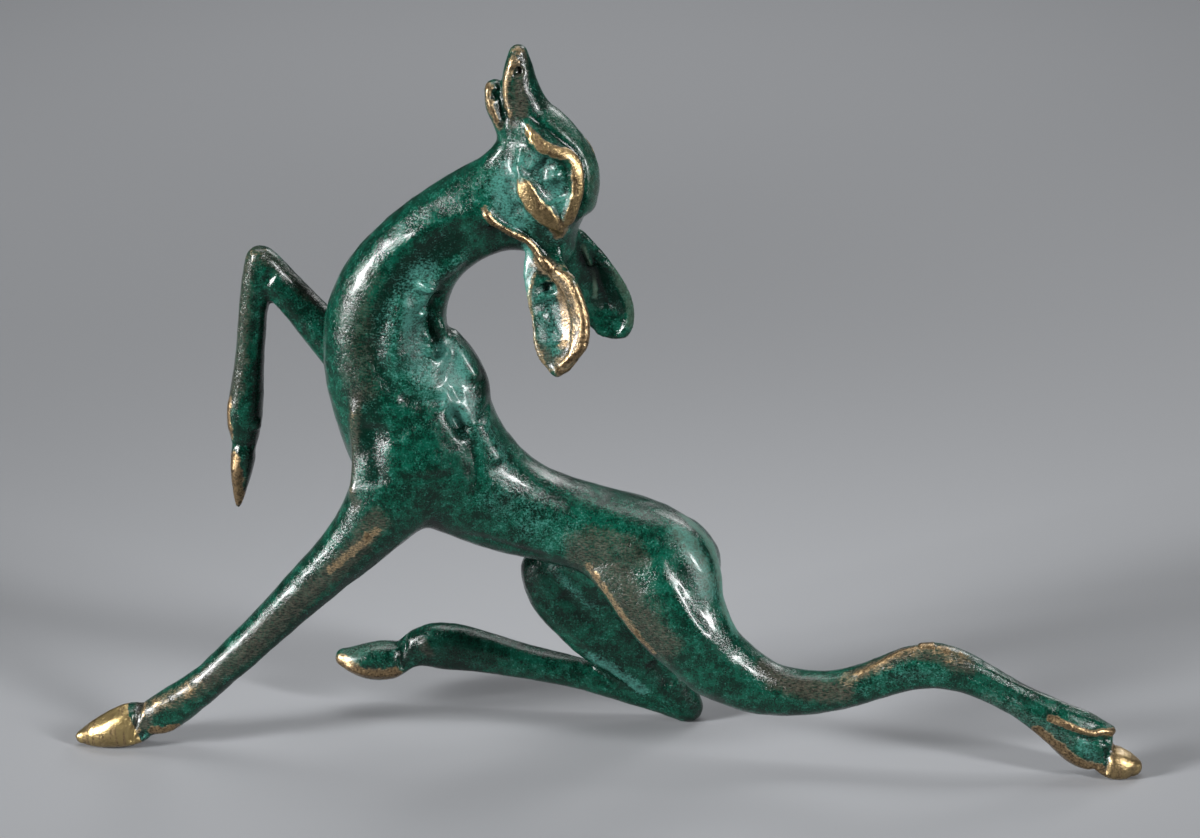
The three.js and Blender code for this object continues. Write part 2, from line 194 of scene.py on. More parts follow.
class Clay:
    def __init__(self, piece):
        self.piece = piece
        self.mesh = piece.data
        self.read()
        edges = np.empty(len(self.mesh.edges) * 2, np.int32)
        self.mesh.edges.foreach_get("vertices", edges)
        self.edges = edges.reshape(-1, 2)
        self.neighbours = np.bincount(self.edges.ravel(), minlength=len(self.places))

    def read(self):
        count = len(self.mesh.vertices)
        places = np.empty(count * 3, np.float32)
        self.mesh.vertices.foreach_get("co", places)
        self.places = places.reshape(-1, 3).astype(float) / mm
        facing = np.empty(count * 3, np.float32)
        self.mesh.vertex_normals.foreach_get("vector", facing)
        self.facing = facing.reshape(-1, 3).astype(float)

    def save(self):
        self.mesh.vertices.foreach_set("co", (self.places * mm).astype(np.float32).ravel())
        self.mesh.update()
        self.read()

    def average(self, values):
        a, b = self.edges.T
        total = np.empty_like(values)
        for k in range(values.shape[1]):
            total[:, k] = np.bincount(a, values[b, k], len(values))
            total[:, k] += np.bincount(b, values[a, k], len(values))
        return total / self.neighbours[:, None]

    # Smooths and pushes back out by as much, so that thin limbs don't shrink
    def relax(self, rounds):
        for _ in range(rounds):
            for share in (0.5, -0.52):
                self.places += share * (self.average(self.places) - self.places)

    # Smooths without pushing back, which fills the corner where two forms meet
    def melt(self, rounds, weight):
        inside = np.where(weight > 0.03)[0]
        index = np.full(len(weight), -1)
        index[inside] = np.arange(len(inside))
        a, b = self.edges[(index[self.edges] >= 0).all(1)].T
        a, b = index[a], index[b]
        neighbours = np.bincount(a, minlength=len(inside)) + np.bincount(b, minlength=len(inside))
        points = self.places[inside]
        pull = 0.5 * weight[inside] * (neighbours == self.neighbours[inside])
        for _ in range(rounds):
            for k in range(3):
                total = np.bincount(a, points[b, k], len(points))
                total += np.bincount(b, points[a, k], len(points))
                points[:, k] += pull * (total / np.maximum(neighbours, 1) - points[:, k])
        self.places[inside] = points

    # The points within reach of a stroke: how far off it, how far along it, and on which side of it
    def near(self, line, reach):
        path = flowing(line)
        low = path.min(0) - reach
        high = path.max(0) + reach
        found = np.where(((self.places > low) & (self.places < high)).all(1))[0]
        points = self.places[found]
        if len(path) == 1:
            middle = np.full(len(found), 0.5)
            return found, np.linalg.norm(points - path[0], axis=1), middle, middle
        best = np.full(len(found), 1e9)
        along = np.zeros(len(found))
        side = np.zeros(len(found))
        lengths = np.linalg.norm(np.diff(path, axis=0), axis=1)
        starts = np.concatenate([[0], np.cumsum(lengths)])
        for start, end, length, begun in zip(path, path[1:], lengths, starts):
            run = (end - start) / length
            reached = np.clip((points - start) @ run, 0, length)
            offset = points - (start + reached[:, None] * run)
            distance = np.linalg.norm(offset, axis=1)
            closer = distance < best
            best[closer] = distance[closer]
            along[closer] = (begun + reached[closer]) / starts[-1]
            across = np.cross(run, self.facing[found[closer]])
            side[closer] = (across * offset[closer]).sum(1)
        return found, best, along, side

    def push(self, found, amount):
        self.places[found] += self.facing[found] * amount[:, None]

    # A round ridge, or with a height below zero a groove. A single point gives a bump or a dent.
    def ridge(self, line, height, width, taper=0.15):
        found, distance, along, _ = self.near(line, width * 3)
        ends = smoothStep(0, taper, along) * smoothStep(0, taper, 1 - along)
        self.push(found, height * ends * np.exp(-(distance / width) ** 2))

    # A flat-topped band that narrows to both ends
    def band(self, line, height, width, edge, taper=0.25):
        found, distance, along, _ = self.near(line, width + edge)
        ends = smoothStep(0, taper, along) * smoothStep(0, taper, 1 - along)
        half = width * (0.25 + 0.75 * ends)
        self.push(found, height * (1 - smoothStep(half - edge / 2, half + edge / 2, distance)))

    # Raises the skin on the right of a stroke, as seen from outside, and lets it fall off away from it
    def shelf(self, line, height, edge, reach, taper=0.15):
        found, distance, along, side = self.near(line, reach * 2.5)
        signed = np.sign(side) * distance
        amount = height * smoothStep(-edge, edge, signed) * np.exp(-(np.maximum(signed, 0) / reach) ** 2)
        ends = smoothStep(0, taper, along) * smoothStep(0, taper, 1 - along)
        self.push(found, amount * ends)

    def roundAbout(self, centre, radius):
        distance = np.linalg.norm(self.places - np.array(centre, float), axis=1)
        return np.exp(-(distance / radius) ** 2)

    def tree(self):
        return BVHTree.FromObject(self.piece, bpy.context.evaluated_depsgraph_get())


def applyModifiers(piece):
    depsgraph = bpy.context.evaluated_depsgraph_get()
    made = bpy.data.meshes.new_from_object(piece.evaluated_get(depsgraph), depsgraph=depsgraph)
    piece.modifiers.clear()
    piece.data = made


def fineCopy(node, name):
    mesh = node.data.copy()
    mesh.name = name
    bm = bmesh.new()
    bm.from_mesh(mesh)
    bmesh.ops.remove_doubles(bm, verts=bm.verts, dist=clayChoices["weld"] * mm)
    bm.to_mesh(mesh)
    bm.free()
    piece = bpy.data.objects.new(name, mesh)
    bpy.context.scene.collection.objects.link(piece)
    rounder = piece.modifiers.new("rounder", "SUBSURF")
    rounder.levels = rounder.render_levels = clayChoices["roundness"]
    remesh = piece.modifiers.new("remesh", "REMESH")
    remesh.mode = "VOXEL"
    remesh.voxel_size = clayChoices["grain"] * mm
    applyModifiers(piece)
    return piece


# Strokes. A stroke is a line on the left side of the fawn. One with "both" is repeated on the right side,
# across the middle of the head or of the body. Its height is the relief, below zero for a groove.
# With an edge it is a flat band. With a shelf it lifts the skin on one side of the line only, as far as
# its reach. Bare, brown, olive, verdigris and polish say how much of that finish shows along it; the
# darkening value paints shade into the colour in creases, slits, recesses and on undersides, and a darker
# tone at the tip of the nose. All of these work over its spread, and until is a point and a direction past
# which none of it shows.

headTurn = math.radians(22)
middles = {
    "head": (Vector((-6.5, -0.6, 66.8)), Vector((math.sin(headTurn), math.cos(headTurn), 0))),
    "body": (Vector((0, -1, 0)), Vector((0, 1, 0))),
}

# Corners that are filled and evened out first: centre, radius and rounds of smoothing
seams = {
    "jaw and throat": ((-12.3, -1.5, 72.5), 2.2, 60),
    "cheek and neck": ((-13.5, -4.5, 66.0), 3.2, 60),
    "far cheek and neck": ((-13.0, 2.0, 66.0), 3.2, 60),
    "left ear root": ((-6.3, -5.0, 59.6), 2.0, 60),
    "right ear root": ((-3.8, 1.0, 60.4), 2.2, 60),
    "left ear": ((-5.6, -7.2, 52.6), 4.5, 16),
    "right ear": ((0.4, 3.6, 52.6), 5.0, 16),
    "poll": ((-4.6, -1.5, 60.5), 2.4, 60),
    "eye": ((-6.2, -6.2, 68.0), 3.2, 150),
    "far eye": ((-3.8, 2.6, 68.0), 3.2, 150),
    "mane": ((-20.0, -5.0, 53.0), 4.5, 90),
    "far mane": ((-20.0, 3.0, 53.0), 4.5, 90),
    "chest": ((-26.5, -5.5, 38.0), 5.0, 160),
    "shoulder": ((-20.5, -6.5, 41.0), 5.5, 200),
    "blade": ((-14.5, -5.5, 39.0), 3.5, 160),
    "withers": ((-17.0, -5.0, 44.8), 2.5, 130),
    "armpit": ((-18.5, -5.0, 29.5), 4.0, 60),
    "far chest": ((-26.5, 3.0, 42.0), 5.0, 160),
    "far shoulder": ((-19.5, 4.5, 42.0), 5.0, 160),
    "flank": ((-3.5, -4.0, 25.0), 4.5, 60),
    "rump": ((11.5, -5.0, 24.0), 5.0, 90),
    "far rump": ((9.0, 3.0, 22.0), 5.0, 90),
    "haunch": ((6.0, -8.0, 17.0), 5.0, 90),
    "stifle": ((-5.5, 5.6, 19.5), 3.0, 60),
    "far ham": ((2.0, 4.5, 19.0), 4.0, 60),
    "tail root": ((13.0, -6.5, 15.0), 3.5, 60),
    "knee": ((-39.2, 5.0, 57.0), 1.6, 60),
    "fetlock": ((-53.5, -1.8, 4.0), 1.6, 40),
}

face = {
    "cheekHollow": {
        "line": [(-10.6, -5.2, 69.5), (-10.9, -5.5, 66.8), (-9.6, -5.7, 64.6)],
        "height": -0.22, "width": 1.3, "both": "head", "verdigris": 0.8, "spread": 1.7,
    },
    "socket": {
        "line": [(-7.4, -5.8, 70.9), (-5.9, -6.5, 69.0), (-5.0, -6.5, 66.8)],
        "height": -0.7, "width": 1.35, "both": "head", "taper": 0.05, "verdigris": 0.75, "spread": 1.4,
    },
    "brow": {
        "line": [(-9.0, -4.0, 76.3), (-7.4, -4.3, 75.3), (-5.8, -4.7, 74.3), (-4.4, -4.9, 73.2),
                 (-3.1, -4.6, 71.9), (-2.2, -5.1, 70.2), (-2.1, -5.6, 67.8), (-2.7, -5.7, 65.3),
                 (-3.5, -4.4, 62.9)],
        "height": -0.42, "width": 0.42, "both": "head",
    },
    "upperRim": {
        "line": [(-8.2, -5.1, 74.3), (-7.7, -5.4, 73.5), (-6.9, -5.7, 72.8), (-5.3, -6.2, 72.3),
                 (-4.1, -5.7, 71.8), (-3.2, -5.8, 70.6), (-3.0, -6.2, 69.2), (-3.0, -6.3, 67.7),
                 (-3.6, -6.3, 65.7), (-4.5, -5.8, 63.8)],
        "height": 0.5, "width": 0.78, "edge": 0.55, "taper": 0.08, "both": "head", "bare": 0.72,
        "brown": 0.9, "spread": 0.7, "polish": 0.35,
    },
    "lowerRim": {
        "line": [(-9.4, -5.3, 70.4), (-9.0, -6.0, 68.6), (-8.1, -6.4, 66.9), (-6.9, -6.6, 65.5),
                 (-5.7, -6.3, 64.3), (-4.8, -5.4, 63.3)],
        "height": 0.5, "width": 1.15, "edge": 0.7, "taper": 0.35, "both": "head", "verdigris": 0.7,
        "spread": 1.15,
    },
    "lowerRimWear": {
        "line": [(-8.8, -6.1, 68.2), (-8.1, -6.4, 66.9), (-6.9, -6.6, 65.5), (-5.7, -6.3, 64.3),
                 (-4.8, -5.4, 63.3)],
        "both": "head", "bare": 0.72, "brown": 0.9, "spread": 1.05, "polish": 0.35,
    },
    "eyeball": {
        "line": [(-5.7, -6.6, 69.4)],
        "height": 1.6, "width": 0.75, "both": "head", "brown": 0.5, "spread": 0.4,
    },
    "forehead": {
        "line": [(-5.6, -3.4, 77.6), (-3.6, -3.6, 74.6), (-1.6, -3.8, 71.0), (-1.2, -3.8, 66.4)],
        "both": "head", "olive": 0.3, "spread": 1.5, "brown": 0.3,
    },
    "cheekStreak": {
        "line": [(-9.2, -4.9, 72.8), (-9.4, -5.0, 71.1), (-10.0, -5.2, 69.6)],
        "height": 0.2, "width": 0.45, "both": "head",
    },
    "cheekRidge": {
        "line": [(-13.3, -5.8, 65.7), (-12.7, -5.9, 64.6), (-11.7, -5.9, 63.7), (-10.2, -5.7, 62.9),
                 (-8.8, -5.5, 62.1), (-7.9, -5.4, 61.2), (-7.3, -5.7, 60.1), (-6.5, -6.1, 59.0),
                 (-5.8, -6.2, 58.6)],
        "height": 0.42, "width": 0.36, "taper": 0.08, "both": "head", "bare": 0.5, "spread": 0.5,
        "brown": 0.8,
    },
    "underRidge": {
        "line": [(-13.0, -5.0, 64.0), (-11.5, -5.2, 62.9), (-9.8, -5.0, 62.0), (-8.6, -4.8, 61.0)],
        "height": -0.25, "width": 0.5, "both": "head",
    },
    "lip": {
        "line": [(-9.6, -2.6, 82.7), (-10.2, -2.8, 81.2), (-10.6, -2.9, 79.6), (-10.7, -3.1, 78.0),
                 (-10.5, -3.5, 76.6), (-10.2, -4.0, 75.0)],
        "height": 0.3, "width": 0.55, "both": "head", "bare": 0.36, "brown": 0.95, "spread": 0.85,
    },
    "muzzleFlat": {
        "line": [(-9.0, -3.0, 82.8), (-9.4, -3.5, 80.6), (-9.4, -3.8, 78.4), (-9.2, -4.2, 76.4)],
        "height": -0.14, "width": 0.5, "both": "head", "brown": 1, "spread": 1.0,
    },
    "muzzleRidge": {
        "line": [(-9.1, -3.2, 81.8), (-9.1, -3.7, 79.6), (-8.9, -4.1, 77.6)],
        "height": 0.12, "width": 0.35, "both": "head",
    },
    "nostril": {
        "line": [(-9.5, -3.2, 80.7)], "height": -0.5, "width": 0.38, "both": "head",
    },
    "nostrilWing": {
        "line": [(-9.7, -3.1, 81.7), (-9.2, -3.1, 81.6)], "height": 0.16, "width": 0.3, "both": "head",
        "bare": 0.35, "spread": 0.35,
    },
    "noseTip": {
        "line": [(-9.6, -2.4, 83.4), (-9.0, -2.4, 83.4)],
        "both": "head", "brown": 1, "darkToneAndShade": 0.6, "spread": 0.8,
    },
    "jawEdge": {
        "line": [(-12.9, -2.6, 78.9), (-12.8, -3.0, 77.6), (-12.3, -3.3, 76.2), (-11.6, -3.5, 74.7)],
        "height": 0.16, "width": 0.3, "both": "head", "bare": 0.4, "spread": 0.7, "brown": 0.9,
    },
    "jawScoop": {
        "line": [(-12.2, -3.0, 78.6), (-12.0, -3.2, 77.4)],
        "height": -0.4, "width": 0.45, "both": "head",
    },
    "jawJoint": {
        "line": [(-11.2, -3.4, 76.6), (-10.9, -3.8, 75.0)], "height": -0.25, "width": 0.35, "both": "head",
    },
}

ears = {
    "leftRimLeft": {
        "line": [(-7.0, -5.2, 59.4), (-7.5, -5.2, 58.5), (-8.0, -5.5, 57.3), (-8.4, -5.9, 55.6),
                 (-8.5, -6.3, 53.8), (-8.3, -6.8, 52.2), (-7.9, -7.2, 50.6), (-7.1, -7.7, 49.0),
                 (-6.0, -8.2, 47.8)],
        "height": 0.2, "width": 0.35, "brown": 0.7, "bare": 0.32, "spread": 0.4,
    },
    "leftRimRight": {
        "line": [(-6.9, -5.5, 59.6), (-5.6, -6.0, 58.4), (-4.1, -6.7, 57.0), (-3.2, -7.3, 55.2),
                 (-2.6, -7.7, 53.4), (-2.6, -8.0, 51.6), (-3.3, -8.3, 49.9), (-4.6, -8.5, 48.6)],
        "height": 0.35, "width": 1.15, "edge": 0.6, "taper": 0.3, "bare": 0.52, "brown": 1.0,
        "spread": 1.35,
    },
    "leftPocket": {
        "line": [(-6.5, -5.6, 57.2), (-6.3, -5.8, 56.0)], "height": -0.9, "width": 0.7,
    },
    "leftCup": {
        "line": [(-6.5, -5.8, 55.6), (-6.1, -6.4, 52.8), (-5.6, -7.3, 50.2)],
        "height": -0.5, "width": 1.2, "verdigris": 0.55, "spread": 1.9,
    },
    "leftFold": {
        "line": [(-7.0, -6.2, 54.2), (-6.0, -6.6, 52.5), (-5.2, -7.3, 50.8)],
        "height": 0.5, "width": 0.5,
    },
    # Painted shade: darkens the outer wall of the left ear
    "leftOuterWall": {
        "line": [(-8.5, -4.3, 60.2), (-8.7, -4.7, 58.9), (-8.8, -5.1, 57.4), (-8.9, -5.6, 55.8)],
        "verdigris": 1, "darkToneAndShade": 1, "spread": 1.0,
    },
    "leftInnerWall": {
        "line": [(-5.0, -6.3, 57.2), (-4.7, -6.2, 55.2), (-4.4, -6.6, 53.6), (-4.3, -7.2, 52.0),
                 (-4.6, -7.7, 50.6)],
        "bare": 0.58, "brown": 0.9, "spread": 0.8,
    },
    "leftPoint": {"line": [(-5.3, -8.4, 47.5)], "height": 0.6, "width": 0.7},
    "earPit1": {"line": [(-3.9, -7.0, 55.9)], "height": -0.3, "width": 0.3},
    "earPit2": {"line": [(-3.2, -7.6, 53.9)], "height": -0.25, "width": 0.3},
    "earPit3": {"line": [(-3.4, -7.9, 51.8)], "height": -0.3, "width": 0.25},
    "leftTip": {
        "line": [(-7.2, -7.6, 50.0), (-5.9, -8.1, 48.6), (-4.6, -8.4, 48.8)],
        "height": 0.05, "width": 0.4, "brown": 0.95, "bare": 0.3, "spread": 1.0,
    },
    "rightRim": {
        "line": [(-1.0, 2.2, 58.0), (0.6, 2.8, 56.2), (1.9, 3.2, 54.0), (2.8, 3.6, 51.8),
                 (2.9, 4.0, 49.8), (1.9, 4.3, 48.2), (0.4, 4.3, 47.8)],
        "height": 0.3, "width": 0.5, "edge": 0.4, "taper": 0.15,
    },
    "rightTrough": {
        "line": [(-1.6, 2.6, 57.4), (-0.5, 4.2, 54.0), (0.6, 4.4, 50.8)],
        "height": -0.35, "width": 0.8,
    },
    "rightRidge": {
        "line": [(-2.4, 1.5, 59.4), (-1.6, 2.7, 57.3), (-1.0, 3.6, 55.0), (-1.0, 4.2, 52.6)],
        "height": 0.5, "width": 0.3, "olive": 0.7, "spread": 0.4,
    },
    "rightBrink": {
        "line": [(0.8, 2.9, 56.6), (2.2, 3.3, 54.0), (3.1, 3.7, 51.6), (3.1, 4.0, 49.8)],
        "olive": 0.35, "spread": 0.7,
    },
}

neck = {
    "hollowFront": {
        "line": [(-14.6, -5.5, 64.6), (-17.7, -5.5, 62.4), (-20.8, -5.7, 59.4), (-23.2, -5.9, 56.0),
                 (-24.6, -6.1, 52.6), (-25.0, -6.4, 50.2)],
        "height": -0.6, "width": 1.7,
    },
    "panel": {
        "line": [(-22.0, -5.5, 56.6), (-22.8, -5.5, 53.8), (-23.3, -5.8, 51.2), (-23.2, -6.2, 48.8),
                 (-22.4, -6.5, 46.6)],
        "height": 0.8, "width": 1.6, "verdigris": 0.3, "spread": 2.0, "taper": 0.25,
    },
    "neckBloom": {
        "line": [(-20.0, -5.2, 58.0), (-21.0, -5.2, 55.0), (-21.2, -5.4, 51.8), (-20.8, -5.8, 48.6),
                 (-19.8, -6.0, 46.6)],
        "both": "body", "verdigris": 0.75, "spread": 1.7,
    },
    "panelFoot": {
        "line": [(-20.4, -6.0, 47.0), (-19.2, -6.0, 45.8), (-17.2, -5.6, 45.4)],
        "both": "body", "verdigris": 0.5, "spread": 2.2,
    },
    "neckEdge": {
        "line": [(-24.4, -5.1, 60.6), (-21.6, -5.1, 62.9), (-18.2, -5.2, 64.6), (-14.9, -5.4, 65.9),
                 (-11.2, -5.1, 67.7)],
        "shelf": 0.5, "edge": 1.0, "reach": 2.5, "taper": 0.3, "both": "body",
    },
    "neckShade": {
        "line": [(-17.4, -5.0, 61.8), (-20.4, -5.1, 60.2), (-23.2, -5.5, 57.8), (-24.8, -5.8, 55.0),
                 (-25.1, -5.8, 51.8), (-24.5, -6.5, 49.1)],
        "both": "body", "darkToneAndShade": 0.75, "spread": 1.3,
    },
    # Painted shade: darkens the trench along the mane
    "trench": {
        "line": [(-18.4, -4.2, 56.0), (-19.1, -4.4, 54.0), (-19.1, -4.5, 51.8), (-18.5, -4.4, 49.8),
                 (-18.0, -4.9, 48.2)],
        "height": -1.3, "width": 0.75, "taper": 0.3, "both": "body", "darkToneAndShade": 1.2, "spread": 0.6,
    },
    "napeEdge": {
        "line": [(-15.4, -4.2, 60.2), (-17.4, -4.6, 58.4), (-19.0, -4.9, 57.1), (-19.8, -5.2, 55.6)],
        "height": 0.4, "width": 0.7, "both": "body", "verdigris": 0.3, "spread": 0.8,
    },
    "lump1": {
        "line": [(-19.5, -5.3, 57.0), (-19.8, -5.2, 56.0)],
        "height": 0.65, "width": 0.8, "both": "body",
    },
    "lump2": {
        "line": [(-20.3, -5.1, 53.9), (-19.9, -4.9, 53.2)],
        "height": 0.75, "width": 0.6, "both": "body",
    },
    "lump3": {"line": [(-19.4, -4.5, 50.6)], "height": 0.75, "width": 0.6, "both": "body"},
    "lump4": {"line": [(-18.5, -3.4, 51.1)], "height": 0.4, "width": 0.8, "both": "body"},
    "lump5": {"line": [(-19.3, -5.0, 49.0)], "height": 0.6, "width": 0.5, "both": "body"},
    "lump6": {"line": [(-17.9, -4.2, 48.6)], "height": 0.4, "width": 0.7, "both": "body"},
    "pit1": {"line": [(-18.8, -4.2, 55.0)], "height": -0.8, "width": 0.6, "both": "body"},
    "pit2": {"line": [(-19.5, -4.4, 52.2)], "height": -1.1, "width": 0.5, "both": "body"},
    "pit3": {"line": [(-18.6, -4.3, 50.0)], "height": -1.0, "width": 0.5, "both": "body"},
    "pit4": {"line": [(-18.7, -4.9, 48.6)], "height": -0.8, "width": 0.5, "both": "body"},
    "withersRim": {
        "line": [(-17.6, -1.6, 50.3), (-16.4, -2.9, 48.6), (-15.2, -3.5, 46.7), (-14.2, -3.5, 44.9)],
        "height": 0.45, "width": 0.9, "both": "body",
    },
    "withersDip": {
        "line": [(-18.9, -5.2, 46.9), (-17.7, -5.1, 45.8), (-16.9, -5.2, 44.6)],
        "height": -0.3, "width": 1.5, "taper": 0.5, "both": "body",
    },
    "withersPinch": {
        "line": [(-17.5, -5.9, 43.9), (-16.7, -5.5, 44.3), (-15.9, -4.9, 44.5)],
        "height": -0.25, "width": 1.0, "taper": 0.5, "both": "body",
    },
    "withersCrease": {
        "line": [(-13.0, -2.2, 42.2), (-13.6, -4.4, 41.2), (-14.2, -5.5, 40.2)],
        "height": -0.4, "width": 0.42, "taper": 0.3, "both": "body",
    },
    "withersBloom": {
        "line": [(-17.6, -4.1, 48.2), (-17.0, -4.7, 46.0), (-16.7, -5.5, 44.0), (-16.2, -5.9, 42.4)],
        "both": "body", "verdigris": 1.0, "spread": 2.0,
    },
    "frontMottle": {
        "line": [(-27.2, -5.9, 57.6), (-28.0, -6.0, 53.6), (-28.0, -6.3, 49.4), (-27.4, -6.6, 45.6)],
        "both": "body", "brown": 0.68, "spread": 2.4,
    },
}

trunk = {
    "shoulderFront": {
        "line": [(-26.3, -6.2, 51.4), (-25.7, -6.4, 49.4), (-25.0, -6.7, 47.4), (-24.0, -6.9, 45.6),
                 (-22.6, -7.0, 44.4)],
        "height": -0.45, "width": 1.1, "both": "body",
    },
    "shoulderTop": {
        "line": [(-23.3, -7.0, 44.6), (-21.2, -6.9, 43.9), (-19.4, -6.7, 43.7), (-17.6, -6.4, 43.4)],
        "height": -0.45, "width": 0.9, "both": "body",
    },
    "bladeBulge": {
        "line": [(-21.4, -7.1, 41.4), (-19.6, -7.0, 38.4), (-19.2, -7.0, 35.0)],
        "height": 0.3, "width": 2.6, "both": "body",
    },
    "chestShade": {
        "line": [(-26.8, -6.7, 44.2), (-26.5, -6.8, 41.5), (-26.2, -6.9, 38.4), (-25.2, -7.4, 35.4)],
        "both": "body", "darkToneAndShade": 0.85, "spread": 2.0,
    },
    "shoulderShade": {
        "line": [(-23.0, -7.3, 42.6), (-21.9, -7.8, 39.5), (-21.3, -8.2, 36.2)],
        "both": "body", "darkToneAndShade": 0.35, "spread": 2.6,
    },
    # Painted shade: darkens the slit behind the shoulder
    "slit": {
        "line": [(-17.6, -6.4, 43.4), (-17.0, -6.5, 42.4), (-16.2, -6.5, 40.9), (-15.2, -6.5, 38.8)],
        "height": -1.3, "width": 0.8, "taper": 0.4, "both": "body", "darkToneAndShade": 1, "spread": 0.7,
    },
    "slitTail": {
        "line": [(-16.0, -6.5, 40.2), (-15.0, -6.6, 37.9), (-14.5, -6.9, 35.2), (-14.7, -7.0, 32.4),
                 (-15.6, -6.9, 30.4)],
        "height": -0.35, "width": 0.9, "taper": 0.3, "both": "body",
    },
    "backBulge": {
        "line": [(-14.4, -5.3, 41.0), (-13.0, -5.3, 38.4), (-11.6, -5.4, 35.8)],
        "height": 0.5, "width": 1.2, "both": "body", "verdigris": 0.4, "spread": 1.8,
    },
    "flankHollow": {
        "line": [(-11.6, -6.2, 32.0), (-8.0, -6.2, 29.0), (-4.0, -6.4, 27.4)],
        "height": -0.22, "width": 2.0, "both": "body", "verdigris": 0.3, "spread": 2.6,
    },
    "chestEdge": {
        "line": [(-27.6, -6.0, 44.0), (-28.0, -6.0, 41.0), (-28.1, -5.9, 37.6), (-28.0, -6.2, 34.2),
                 (-27.8, -7.0, 31.4)],
        "height": 0.45, "width": 0.9, "both": "body", "brown": 0.9, "bare": 0.2, "spread": 0.9,
    },
    "chestHollow": {
        "line": [(-25.8, -6.8, 41.4), (-25.6, -6.9, 37.6), (-25.2, -7.2, 33.6)],
        "height": -0.45, "width": 1.2, "both": "body",
    },
    "bellySeam": {
        "line": [(-17.5, -4.6, 28.0), (-13.5, -5.0, 27.2), (-9.4, -4.9, 25.7), (-5.6, -4.9, 24.4)],
        "height": -0.2, "width": 0.6, "both": "body",
    },
    "haunchEdge": {
        "line": [(-2.0, -6.6, 23.8), (0.0, -7.2, 21.6), (1.6, -7.9, 19.4), (3.2, -8.4, 17.2),
                 (5.6, -8.7, 14.4)],
        "height": 0.15, "width": 0.9, "bare": 0.5, "spread": 0.75,
    },
    "haunchPatch": {
        "line": [(-2.4, -6.4, 26.2), (0.2, -7.2, 24.0), (2.4, -8.2, 21.2), (4.4, -8.9, 18.4),
                 (6.6, -9.3, 15.6)],
        "brown": 0.9, "spread": 2.7,
    },
    "haunchPatchTop": {
        "line": [(-1.4, -6.6, 27.4), (1.6, -7.2, 26.8), (3.8, -7.9, 25.2)],
        "brown": 0.8, "spread": 1.7,
    },
    "haunchCrown": {
        "line": [(4.9, -7.6, 26.9), (6.3, -8.2, 25.3), (7.6, -9.1, 23.5), (9.0, -9.7, 21.4),
                 (10.5, -10.0, 19.0), (12.1, -10.2, 16.9), (13.8, -9.8, 15.0)],
        "shelf": 0.5, "edge": 0.9, "reach": 2.4, "taper": 0.3, "both": "body",
    },
    "rumpEdge": {
        "line": [(9.6, -2.0, 27.6), (11.6, -3.4, 25.0), (12.8, -5.0, 22.0), (13.2, -6.0, 19.4),
                 (14.2, -6.6, 16.8)],
        "olive": 0.7, "verdigris": 0.7, "spread": 1.6,
    },
    "rumpBloom": {
        "line": [(8.6, -6.0, 27.6), (10.2, -7.0, 26.1), (11.2, -7.5, 24.0), (11.9, -7.9, 21.6)],
        "olive": 0.5, "verdigris": 0.7, "spread": 1.3,
    },
}

